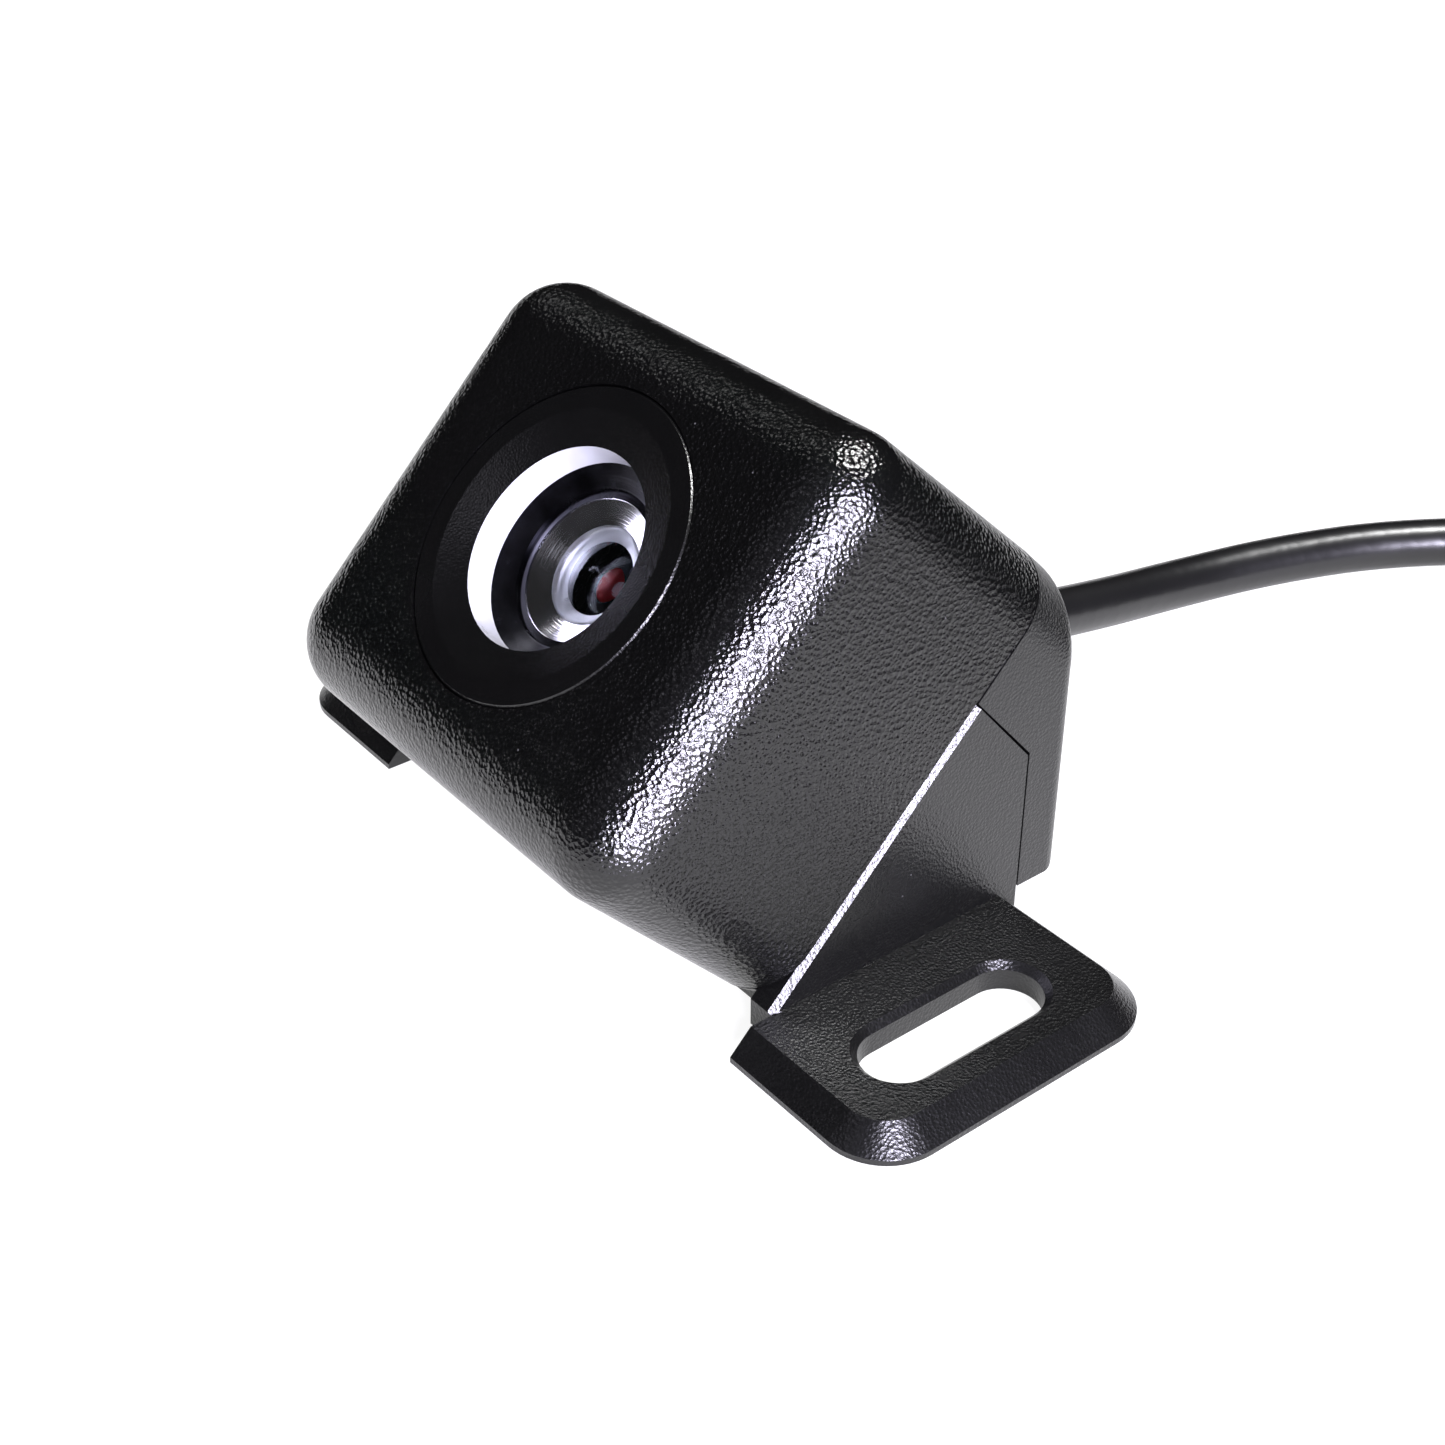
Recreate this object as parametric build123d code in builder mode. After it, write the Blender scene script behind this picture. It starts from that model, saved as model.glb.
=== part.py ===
"""Bracket-mount reversing camera with a coiled pigtail and a four-pin screw plug.

The mounting face of the bracket is z = 0, the ears spread along X, and the cable leaves towards +Y.
The lens looks up and forward, along -Y and +Z.  Every size is in millimetres.
"""
import os
from math import cos, pi, radians, sin, sqrt, tan

from build123d import *

os.makedirs("parts", exist_ok=True)

# Camera head
lens_tilt = 45.0          # angle of the lens axis above the mounting face
body_width = 30.0
body_height = 24.4        # along the part line, at the part line
front_width = 26.6
front_height = 23.8
head_depth = 13.7         # part line to front face
front_wall = 3.0
side_wall = 1.8
corner_radius = 3.5
front_edge_radius = 3.4
rear_rebate = 0.12        # leaves a fine groove along the part line
lens_height = body_height / 2 + 0.15    # lens axis above the foot of the part line

# Rear cover
back_overhang = 1.55      # how far the back wall stands behind the top of the part line
back_wall = 1.6
floor_wall = 1.2
cover_side_wall = 1.4
back_edge_radius = 1.1

# Bracket
plate = 1.5               # thickness of the ears, the base and the cheeks
bracket_length = 18.0     # along Y
bracket_shift = 0.25      # the slots are this far in front of the plate's middle
ear_reach = 10.0          # beyond the body on each side
ear_corner = 3.2
slot_width = 3.6
slot_length = 10.4
slot_spacing = 40.6
slot_rim = 0.35
base_front = -5.2
cheek_height = 17.05      # along the part line
cheek_shoulder_z = 9.3
cheek_break = 0.3
fit_gap = 0.1             # round what slides or drops into place

# Front trim ring and the bright sleeve inside it
ring_radius = 8.0
ring_depth = 1.9
ring_chamfer = 0.12
dish_radius = 6.8
sleeve_inner = 5.1
sleeve_wall = 0.5
sleeve_top = 0.5
sleeve_bottom = 2.2
ring_seal_thickness = 0.4

# Lens, with depths measured from the front face
barrel_radius = 6.0
lens_window = barrel_radius + 0.3        # radius of the opening behind the trim ring
barrel_end = 9.0
throat_radius = 4.05
throat_depth = 2.75
lip_radius = 3.64
lip_depth = 3.08
lip_thickness = 0.13
element_radius = 3.8
element_gap = 0.05
bezel_hole = 2.54
bezel_edge = 0.14
bezel_back = 3.72
dome_reach = 2.5
dome_rise = 0.5
hollow_reach = 2.4
hollow_rise = 0.3
front_glass_back = 3.9
spacer_back = 4.1
spacer_holes = (2.6, 1.8)  # at the front glass and at the second glass
second_reach = 1.8
second_rise = 0.3
stop_hole = 0.9
second_glass_back = 5.0
stop_back = 5.15
rear_glass_back = 7.0
rear_bulge = 0.6
retainer_back = 8.4

# Lens holder, sensor and boards
holder_top = 6.5
holder_wall = 0.6
holder_base = 13.2        # side of the square base
holder_base_top = 10.6
holder_room = 9.0         # side of the square room over the sensor
filter_top = 10.2
filter_side = 6.6
filter_thickness = 0.3
board_top = 12.2
board_thickness = 1.0
board_width = 17.0
board_height = 19.6
sensor_size = (7.0, 6.0, 0.9)
cover_glass_size = (6.0, 5.0, 0.4)
board_gap = 3.2
video_board_size = (15.0, 13.2)
video_board_height = 13.0
post_radius = 1.6
post_spot = (6.5, 8.4)
holder_screw_spot = 5.5
small_screw = 0.75        # shank radius of the board screws
small_head = (1.3, 0.9)

# Screws that close the head and that hold it on the bracket
case_screw_x = 11.0
case_screw_heights = (4.8, body_height - 3.0)
case_screw_radius = 0.95
case_head = (1.75, 1.2)
case_screw_grip = 1.6
case_screw_bite = 5.0
case_boss = 2.3
case_column = 2.7
base_screw_spot = (8.0, 6.0)
base_screw_radius = 1.1
base_head_radius = 2.3
base_head_depth = 1.2
base_screw_length = 5.0
base_boss = 2.4

# Housing seal
seal_width = 0.8
seal_depth = 0.7

# Cable, gland and coil
cable_radius = 1.5
exit_height = 5.0
gland_neck = 2.3
gland_flange = 3.1
gland_flange_depth = 1.0
boot_length = 3.5         # behind the back wall
wire_radius = 0.32
wire_pitch = 1.5          # at the inner plug
wire_lay = 0.62           # from the cable's centre, where they enter it
coil_centre = (40.0, 58.0)
coil_lanes = (13.5, 16.5, 19.5)
coil_start = 110.0        # angle at which the cable runs into the coil
coil_end = 25.0           # angle at which it leaves
tie_width = 3.0
tie_thickness = 0.5       # the tie passes under the coil and holds it off the surface
tie_angle = 215.0

# Plug, with stations along its axis from the cable end
plug_spot = (64.0, 42.5, 6.5)
relief_length = 9.0
relief_radius = 4.2
grip_radius = 5.4
grip_end = 17.7
spigot_radius = 4.6
spigot_bore = 3.9
spigot_end = 29.0
insert_start = 17.0
insert_end = 20.5
pin_radius = 0.5
pin_circle = 2.0
pin_end = 27.0
nut_radius = 6.5
nut_bore = 5.4
nut_start = 18.0
nut_end = 31.0
nut_web = 1.2
nut_running_gap = 0.1
clip_start = 19.5
clip_width = 0.8
plug_seal_start = 21.2
plug_seal_width = 1.2
flute_count = 18

# The head's own directions and planes
half = body_width / 2
lens_cos, lens_sin = cos(radians(lens_tilt)), sin(radians(lens_tilt))
up_face = Vector(0, lens_cos, lens_sin)
outward = Vector(0, -lens_sin, lens_cos)
part_foot = Vector(0, -6.5, plate)
back_y = part_foot.Y + body_height * lens_cos + back_overhang
boot_end = back_y + boot_length
sheath_end = back_y - back_wall - 0.3


def on_side(height, out):
    """The point at this height up the part line and this far in front of it."""
    return part_foot + up_face * height + outward * out


def head_plane(out, height=0.0):
    """A plane square to the lens axis, this far in front of the part line."""
    return Plane(origin=on_side(height, out), x_dir=(1, 0, 0), z_dir=outward)


def lens_plane(depth):
    """A plane square to the lens axis and centred on it, this deep behind the front face."""
    return head_plane(head_depth - depth, lens_height)


lens_section = Plane(origin=lens_plane(0).origin, x_dir=(1, 0, 0), z_dir=-up_face)
lens_axis = Axis(lens_plane(0).origin, outward)
plug_section = Plane(origin=plug_spot, x_dir=(1, 0, 0), z_dir=(0, 0, 1))
plug_axis = Axis(plug_spot, (0, -1, 0))


def plug_plane(station):
    """A plane square to the plug's axis, at this station along it."""
    x, y, z = plug_spot
    return Plane(origin=(x, y - station, z), x_dir=(1, 0, 0), z_dir=(0, -1, 0))


def outline(plane, *points):
    """The flat shape inside a closed line of (radius, depth) points, depths running down the plane."""
    with BuildSketch(plane) as shape:
        with BuildLine():
            Polyline(*[(radius, -depth) for radius, depth in points], close=True)
        make_face()
    return shape.sketch


def tube(plane, outer, inner, start, end):
    """The half section of a plain ring."""
    return outline(plane, (inner, start), (outer, start), (outer, end), (inner, end))


def rounded(plane, width, height, radius):
    """A rounded rectangle standing on the plane's X axis and centred on its Y axis."""
    with BuildSketch(plane) as shape:
        with Locations((0, height / 2)):
            RectangleRounded(width, height, radius)
    return shape.sketch


def sag(radius, reach):
    """How far a sphere of this radius falls away at this reach from its top."""
    return radius - sqrt(radius**2 - reach**2)


def save(piece, name):
    piece.part.label = name
    export_step(piece.part, f"parts/{name}.step")


# ---------------------------------------------------------------- front housing
front_inset = (body_height - front_height) / 2
bore_radius = ring_radius + fit_gap / 2
seat_depth = ring_depth + ring_seal_thickness
room_width = body_width - 2 * side_wall
room_height = body_height - 2 * side_wall
case_screws = [
    (sign * case_screw_x, height)
    for sign in (-1, 1)
    for height in case_screw_heights
]
posts = [(sign * post_spot[0], sign * post_spot[1]) for sign in (-1, 1)]
holder_screws = [(-sign * holder_screw_spot, sign * holder_screw_spot) for sign in (-1, 1)]

with BuildPart() as front_housing:
    loft([
        rounded(head_plane(0), body_width, body_height, corner_radius),
        rounded(head_plane(head_depth, front_inset), front_width, front_height, corner_radius),
    ])
    front_face = front_housing.faces().sort_by(Axis((0, 0, 0), outward))[-1]
    fillet(front_face.edges(), radius=front_edge_radius)
    rim_shape = rounded(head_plane(0), body_width, body_height, corner_radius) - rounded(
        head_plane(0, rear_rebate), body_width - 2 * rear_rebate, body_height - 2 * rear_rebate,
        corner_radius - rear_rebate)
    extrude(rim_shape, amount=rear_rebate, mode=Mode.SUBTRACT)
    loft([
        rounded(head_plane(0, side_wall), room_width, room_height, corner_radius - side_wall),
        rounded(
            head_plane(head_depth - front_wall, side_wall + front_inset),
            room_width - (body_width - front_width),
            room_height - (body_height - front_height),
            corner_radius - side_wall,
        ),
    ], mode=Mode.SUBTRACT)
    # columns for the case screws, filled into the corners of the room
    with BuildSketch(head_plane(0)):
        with Locations(*case_screws):
            Circle(case_boss)
    extrude(amount=case_screw_bite + 1)
    # posts for the sensor board
    with BuildSketch(lens_plane(board_top)):
        with Locations(*posts):
            Circle(post_radius)
    extrude(amount=board_top - front_wall + 0.5)
    with BuildSketch(lens_plane(board_top)):
        with Locations(*posts):
            Circle(small_screw)
    extrude(amount=4.0, mode=Mode.SUBTRACT)
    with BuildSketch(head_plane(0)):
        with Locations(*case_screws):
            Circle(case_screw_radius)
    extrude(amount=case_screw_bite, mode=Mode.SUBTRACT)
    # stepped opening for the trim ring, its seal and the lens
    with BuildSketch(lens_plane(seat_depth)):
        Circle(bore_radius)
    extrude(amount=seat_depth + 1, mode=Mode.SUBTRACT)
    with BuildSketch(lens_plane(front_wall + 1)):
        Circle(lens_window)
    extrude(amount=front_wall + 1, mode=Mode.SUBTRACT)
    # groove for the housing seal, in the middle of the rim
    seal_inset = (side_wall - seal_width) / 2
    with BuildSketch(head_plane(0)):
        with Locations((0, body_height / 2)):
            RectangleRounded(body_width - 2 * seal_inset, body_height - 2 * seal_inset,
                             corner_radius - seal_inset)
            RectangleRounded(body_width - 2 * (seal_inset + seal_width),
                             body_height - 2 * (seal_inset + seal_width),
                             corner_radius - seal_inset - seal_width, mode=Mode.SUBTRACT)
    extrude(amount=seal_depth, mode=Mode.SUBTRACT)
save(front_housing, "front_housing")

with BuildPart() as housing_seal:
    with BuildSketch(head_plane(0)):
        with Locations((0, body_height / 2)):
            RectangleRounded(body_width - 2 * seal_inset, body_height - 2 * seal_inset,
                             corner_radius - seal_inset)
            RectangleRounded(body_width - 2 * (seal_inset + seal_width),
                             body_height - 2 * (seal_inset + seal_width),
                             corner_radius - seal_inset - seal_width, mode=Mode.SUBTRACT)
    extrude(amount=seal_depth)
save(housing_seal, "housing_seal")

# ---------------------------------------------------------------- trim ring, sleeve and seal
sleeve_outer = sleeve_inner + sleeve_wall

with BuildPart() as lens_ring:
    revolve(outline(
        lens_section,
        (ring_radius - ring_chamfer, 0), (dish_radius, 0), (sleeve_inner, sleeve_top),
        (sleeve_outer, sleeve_top + sleeve_wall), (sleeve_outer, ring_depth),
        (ring_radius, ring_depth), (ring_radius, ring_chamfer),
    ), axis=lens_axis)
save(lens_ring, "lens_ring")

with BuildPart() as lens_sleeve:
    revolve(outline(
        lens_section,
        (sleeve_inner, sleeve_top), (sleeve_outer, sleeve_top + sleeve_wall),
        (sleeve_outer, sleeve_bottom), (sleeve_inner, sleeve_bottom),
    ), axis=lens_axis)
save(lens_sleeve, "lens_sleeve")

with BuildPart() as ring_seal:
    revolve(tube(lens_section, ring_radius, lens_window + 0.1, ring_depth, seat_depth), axis=lens_axis)
save(ring_seal, "ring_seal")

# ---------------------------------------------------------------- lens
bore = element_radius + element_gap
with BuildPart() as lens_barrel:
    revolve(outline(
        lens_section,
        (sleeve_inner, sleeve_bottom), (barrel_radius, sleeve_bottom), (barrel_radius, barrel_end),
        (bore, barrel_end), (bore, lip_depth), (lip_radius, lip_depth),
        (lip_radius, lip_depth - lip_thickness), (throat_radius, lip_depth - lip_thickness),
        (throat_radius, throat_depth),
    ), axis=lens_axis)
save(lens_barrel, "lens_barrel")

# a polished funnel screwed in over the front glass
with BuildPart() as lens_bezel:
    revolve(outline(
        lens_section,
        (bezel_hole, bezel_back - bezel_edge), (lip_radius, lip_depth), (element_radius, lip_depth),
        (element_radius, bezel_back), (bezel_hole, bezel_back),
    ), axis=lens_axis)
save(lens_bezel, "lens_bezel")

with BuildPart() as front_element:
    dome_radius = (dome_reach**2 + dome_rise**2) / (2 * dome_rise)
    dome_top = bezel_back - dome_rise
    hollow_radius = (hollow_reach**2 + hollow_rise**2) / (2 * hollow_rise)
    hollow_top = front_glass_back - hollow_rise
    with BuildSketch(lens_section):
        with BuildLine():
            ThreePointArc((0, -dome_top), (dome_reach / 2, -dome_top - sag(dome_radius, dome_reach / 2)),
                          (dome_reach, -bezel_back))
            Polyline((dome_reach, -bezel_back), (element_radius, -bezel_back),
                     (element_radius, -front_glass_back), (hollow_reach, -front_glass_back))
            ThreePointArc((hollow_reach, -front_glass_back),
                          (hollow_reach / 2, -hollow_top - sag(hollow_radius, hollow_reach / 2)),
                          (0, -hollow_top))
            Line((0, -hollow_top), (0, -dome_top))
        make_face()
    revolve(axis=lens_axis)
save(front_element, "front_element")

with BuildPart() as lens_spacer:
    revolve(outline(
        lens_section,
        (spacer_holes[0], front_glass_back), (element_radius, front_glass_back),
        (element_radius, spacer_back), (spacer_holes[1], spacer_back),
    ), axis=lens_axis)
save(lens_spacer, "lens_spacer")

with BuildPart() as second_element:
    second_radius = (second_reach**2 + second_rise**2) / (2 * second_rise)
    second_hollow = second_glass_back - second_rise
    with BuildSketch(lens_section):
        with BuildLine():
            Polyline((0, -spacer_back), (element_radius, -spacer_back),
                     (element_radius, -second_glass_back), (second_reach, -second_glass_back))
            ThreePointArc((second_reach, -second_glass_back),
                          (second_reach / 2, -second_hollow - sag(second_radius, second_reach / 2)),
                          (0, -second_hollow))
            Line((0, -second_hollow), (0, -spacer_back))
        make_face()
    revolve(axis=lens_axis)
save(second_element, "second_element")

with BuildPart() as aperture_stop:
    revolve(tube(lens_section, element_radius, stop_hole, second_glass_back, stop_back), axis=lens_axis)
save(aperture_stop, "aperture_stop")

with BuildPart() as rear_element:
    bulge_reach = 2.8
    bulge_radius = (bulge_reach**2 + rear_bulge**2) / (2 * rear_bulge)
    with BuildSketch(lens_section):
        with BuildLine():
            Polyline((0, -stop_back), (element_radius, -stop_back),
                     (element_radius, -rear_glass_back), (bulge_reach, -rear_glass_back))
            ThreePointArc(
                (bulge_reach, -rear_glass_back),
                (bulge_reach / 2, -rear_glass_back - rear_bulge + sag(bulge_radius, bulge_reach / 2)),
                (0, -rear_glass_back - rear_bulge))
            Line((0, -rear_glass_back - rear_bulge), (0, -stop_back))
        make_face()
    revolve(axis=lens_axis)
save(rear_element, "rear_element")

with BuildPart() as lens_retainer:
    revolve(tube(lens_section, bore, bulge_reach + 0.1, rear_glass_back, retainer_back), axis=lens_axis)
save(lens_retainer, "lens_retainer")

# ---------------------------------------------------------------- holder, filter and sensor
with BuildPart() as lens_holder:
    with BuildSketch(lens_plane(holder_base_top)):
        Circle(barrel_radius + holder_wall)
    extrude(amount=holder_base_top - holder_top)
    with BuildSketch(lens_plane(board_top)):
        RectangleRounded(holder_base, holder_base, 1.0)
    extrude(amount=board_top - holder_base_top)
    with BuildSketch(lens_plane(filter_top - 0.4)):
        Circle(barrel_radius)
    extrude(amount=holder_base_top, mode=Mode.SUBTRACT)
    with BuildSketch(lens_plane(board_top)):
        Rectangle(holder_room, holder_room)
    extrude(amount=board_top - filter_top, mode=Mode.SUBTRACT)
    with BuildSketch(lens_plane(filter_top)):
        Circle(filter_side / 2 - 0.5)
    extrude(amount=1.0, mode=Mode.SUBTRACT)
    with BuildSketch(lens_plane(board_top)):
        with Locations(*holder_screws):
            Circle(small_screw)
    extrude(amount=1.4, mode=Mode.SUBTRACT)
save(lens_holder, "lens_holder")

with BuildPart() as ir_filter:
    with BuildSketch(lens_plane(filter_top + filter_thickness)):
        Rectangle(filter_side, filter_side)
    extrude(amount=filter_thickness)
save(ir_filter, "ir_filter")

sensor_top = board_top - sensor_size[2]
with BuildPart() as image_sensor:
    with BuildSketch(lens_plane(board_top)):
        Rectangle(sensor_size[0], sensor_size[1])
    extrude(amount=sensor_size[2])
save(image_sensor, "image_sensor")

with BuildPart() as sensor_glass:
    with BuildSketch(lens_plane(sensor_top)):
        Rectangle(cover_glass_size[0], cover_glass_size[1])
    extrude(amount=cover_glass_size[2])
save(sensor_glass, "sensor_glass")

# ---------------------------------------------------------------- boards and what is on them
board_back = board_top + board_thickness
with BuildPart() as sensor_board:
    with BuildSketch(lens_plane(board_back)):
        RectangleRounded(board_width, board_height, 0.8)
        with Locations(*posts, *holder_screws):
            Circle(small_screw, mode=Mode.SUBTRACT)
    extrude(amount=board_thickness)
save(sensor_board, "sensor_board")

with BuildPart() as board_screws:
    with BuildSketch(lens_plane(board_back)):
        with Locations(*posts, *holder_screws):
            Circle(small_head[0])
    extrude(amount=-small_head[1])
    with BuildSketch(lens_plane(board_back)):
        with Locations(*posts):
            Circle(small_screw)
    extrude(amount=board_thickness + 3.8)
    with BuildSketch(lens_plane(board_back)):
        with Locations(*holder_screws):
            Circle(small_screw)
    extrude(amount=board_thickness + 1.3)
save(board_screws, "board_screws")

with BuildPart() as sensor_parts:
    with BuildSketch(lens_plane(board_top)):
        with Locations((-7.4, 4.0), (-7.4, 1.6), (-7.4, -0.8), (7.4, -2.0), (7.4, 0.8)):
            Rectangle(0.8, 1.6)
    extrude(amount=0.6)
save(sensor_parts, "sensor_parts")

video_top = board_back + board_gap
video_back = video_top + board_thickness
video_shift = video_board_height - lens_height
link_spot = (0, video_shift + 5.0)
spacer_spots = ((-6.2, video_shift), (6.2, video_shift))
with BuildPart() as video_board:
    with BuildSketch(lens_plane(video_back)):
        with Locations((0, video_shift)):
            RectangleRounded(video_board_size[0], video_board_size[1], 0.8)
    extrude(amount=board_thickness)
save(video_board, "video_board")

with BuildPart() as board_link:
    with BuildSketch(lens_plane(video_top)):
        with Locations(link_spot):
            Rectangle(8.0, 2.4)
    extrude(amount=board_gap)
save(board_link, "board_link")

with BuildPart() as board_spacers:
    with BuildSketch(lens_plane(video_top)):
        with Locations(*spacer_spots):
            RegularPolygon(1.2, 6)
    extrude(amount=board_gap)
save(board_spacers, "board_spacers")

with BuildPart() as video_chip:
    with BuildSketch(lens_plane(video_back)):
        with Locations((-3.2, video_shift + 4.1)):
            Rectangle(4.6, 4.6)
    extrude(amount=-0.9)
save(video_chip, "video_chip")

with BuildPart() as crystal:
    with BuildSketch(lens_plane(video_back)):
        with Locations((3.2, video_shift + 4.9)):
            RectangleRounded(3.2, 2.0, 0.3)
    extrude(amount=-0.8)
save(crystal, "crystal")

with BuildPart() as inductor:
    with BuildSketch(lens_plane(video_back)):
        with Locations((5.7, video_shift)):
            RectangleRounded(2.8, 2.8, 0.6)
    extrude(amount=-1.2)
save(inductor, "inductor")

with BuildPart() as capacitors:
    with BuildSketch(lens_plane(video_back)):
        with Locations((-5.7, video_shift), (4.6, video_shift - 4.2)):
            Rectangle(1.3, 2.4)
    extrude(amount=-1.0)
save(capacitors, "capacitors")

header_spot = (0, video_shift - 0.3)
header_size = (7.6, 3.6, 2.4)
pocket_size = (6.4, 2.4, 1.8)
plug_height = 2.8
with BuildPart() as cable_header:
    with BuildSketch(lens_plane(video_back)):
        with Locations(header_spot):
            Rectangle(header_size[0], header_size[1])
    extrude(amount=-header_size[2])
    with BuildSketch(lens_plane(video_back + header_size[2])):
        with Locations(header_spot):
            Rectangle(pocket_size[0], pocket_size[1])
    extrude(amount=pocket_size[2], mode=Mode.SUBTRACT)
save(cable_header, "cable_header")

header_floor = video_back + header_size[2] - pocket_size[2]
inner_plug_back = header_floor + plug_height
with BuildPart() as inner_plug:
    with BuildSketch(lens_plane(header_floor)):
        with Locations(header_spot):
            Rectangle(pocket_size[0], pocket_size[1])
    extrude(amount=-plug_height)
save(inner_plug, "inner_plug")

# ---------------------------------------------------------------- rear cover
cover_reach = 30.0
top_edge = on_side(body_height, 0)
back_drop = (back_y - top_edge.Y) / lens_sin
shoulder = top_edge - outward * back_drop
floor_z = plate + floor_wall
inner_back = back_y - back_wall
cover_half = half - plate - fit_gap - cover_side_wall
base_screws = [(sign * base_screw_spot[0], base_screw_spot[1]) for sign in (-1, 1)]
bracket_back = bracket_length / 2 + bracket_shift
cheek_tip = on_side(cheek_height, -fit_gap)
cheek_outline = [
    (part_foot.Y + 1.5 * fit_gap, 0), (part_foot.Y + 1.5 * fit_gap, part_foot.Z),
    (cheek_tip.Y, cheek_tip.Z), (bracket_back, cheek_shoulder_z), (bracket_back, 0),
]
pocket_tip = on_side(cheek_height + fit_gap, 0)
pocket_outline = [
    (part_foot.Y, part_foot.Z), (pocket_tip.Y, pocket_tip.Z),
    (bracket_back + fit_gap, cheek_shoulder_z + fit_gap), (bracket_back + fit_gap, part_foot.Z),
]
exit_plane = Plane(origin=(0, inner_back, exit_height), x_dir=(1, 0, 0), z_dir=(0, 1, 0))
exit_axis = Axis((0, 0, exit_height), (0, 1, 0))
gland_section = Plane(origin=(0, 0, exit_height), x_dir=(1, 0, 0), z_dir=(0, 0, 1))
boot_root = 2.6

with BuildPart() as rear_cover:
    with BuildSketch(Plane.YZ.offset(-half)) as side_shape:
        with BuildLine():
            Polyline((part_foot.Y, part_foot.Z), (top_edge.Y, top_edge.Z), (shoulder.Y, shoulder.Z),
                     (back_y, plate), close=True)
        make_face()
    extrude(amount=body_width)
    extrude(rounded(head_plane(0), body_width, body_height, corner_radius), amount=-cover_reach,
            mode=Mode.INTERSECT)
    back_face = rear_cover.faces().filter_by(Axis.Y).sort_by(Axis.Y)[-1]
    fillet(back_face.edges(), radius=back_edge_radius)
    # room for the boards: the head's room carried back to the floor and the back wall
    with BuildPart(mode=Mode.PRIVATE) as cover_room:
        extrude(rounded(head_plane(0, side_wall), 2 * cover_half, room_height,
                        corner_radius - side_wall), amount=-cover_reach)
        with BuildSketch(Plane.YZ.offset(-half)):
            with BuildLine():
                Polyline((part_foot.Y - 5, floor_z), (part_foot.Y - 5, 30), (inner_back, 30),
                         (inner_back, floor_z), close=True)
            make_face()
        extrude(amount=body_width, mode=Mode.INTERSECT)
    with BuildPart(mode=Mode.PRIVATE) as cover_columns:
        with BuildSketch(head_plane(0)):
            with Locations(*case_screws):
                Circle(case_column)
        extrude(amount=-cover_reach)
        with BuildSketch(Plane.XY.offset(plate)):
            with Locations(*base_screws):
                Circle(base_boss)
        extrude(amount=base_screw_length + 0.5 - plate)
    add(cover_room.part - cover_columns.part, mode=Mode.SUBTRACT)
    # case screws come in from behind, down wells that end at their seats
    with BuildSketch(head_plane(0)):
        with Locations(*case_screws):
            Circle(case_screw_radius + fit_gap)
    extrude(amount=-cover_reach, mode=Mode.SUBTRACT)
    with BuildSketch(head_plane(-case_screw_grip)):
        with Locations(*case_screws):
            Circle(case_head[0] + fit_gap)
    extrude(amount=-cover_reach, mode=Mode.SUBTRACT)
    with BuildSketch(Plane.XY.offset(plate)):
        with Locations(*base_screws):
            Circle(base_screw_radius)
    extrude(amount=base_screw_length - plate, mode=Mode.SUBTRACT)
    # pockets that take the bracket's cheeks flush with the sides
    with BuildSketch(Plane.YZ.offset(-half)):
        with BuildLine():
            Polyline(*pocket_outline, close=True)
        make_face()
    extrude(amount=plate + fit_gap, mode=Mode.SUBTRACT)
    with BuildSketch(Plane.YZ.offset(half)):
        with BuildLine():
            Polyline(*pocket_outline, close=True)
        make_face()
    extrude(amount=-plate - fit_gap, mode=Mode.SUBTRACT)
    with BuildSketch(exit_plane):
        Circle(gland_neck)
    extrude(amount=back_wall + 1, both=True, mode=Mode.SUBTRACT)
save(rear_cover, "rear_cover")

with BuildPart() as case_screw_set:
    with BuildSketch(head_plane(-case_screw_grip)):
        with Locations(*case_screws):
            Circle(case_head[0])
    extrude(amount=-case_head[1])
    with BuildSketch(head_plane(-case_screw_grip)):
        with Locations(*case_screws):
            Circle(case_screw_radius)
    extrude(amount=case_screw_grip + case_screw_bite - 0.2)
save(case_screw_set, "case_screws")

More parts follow.
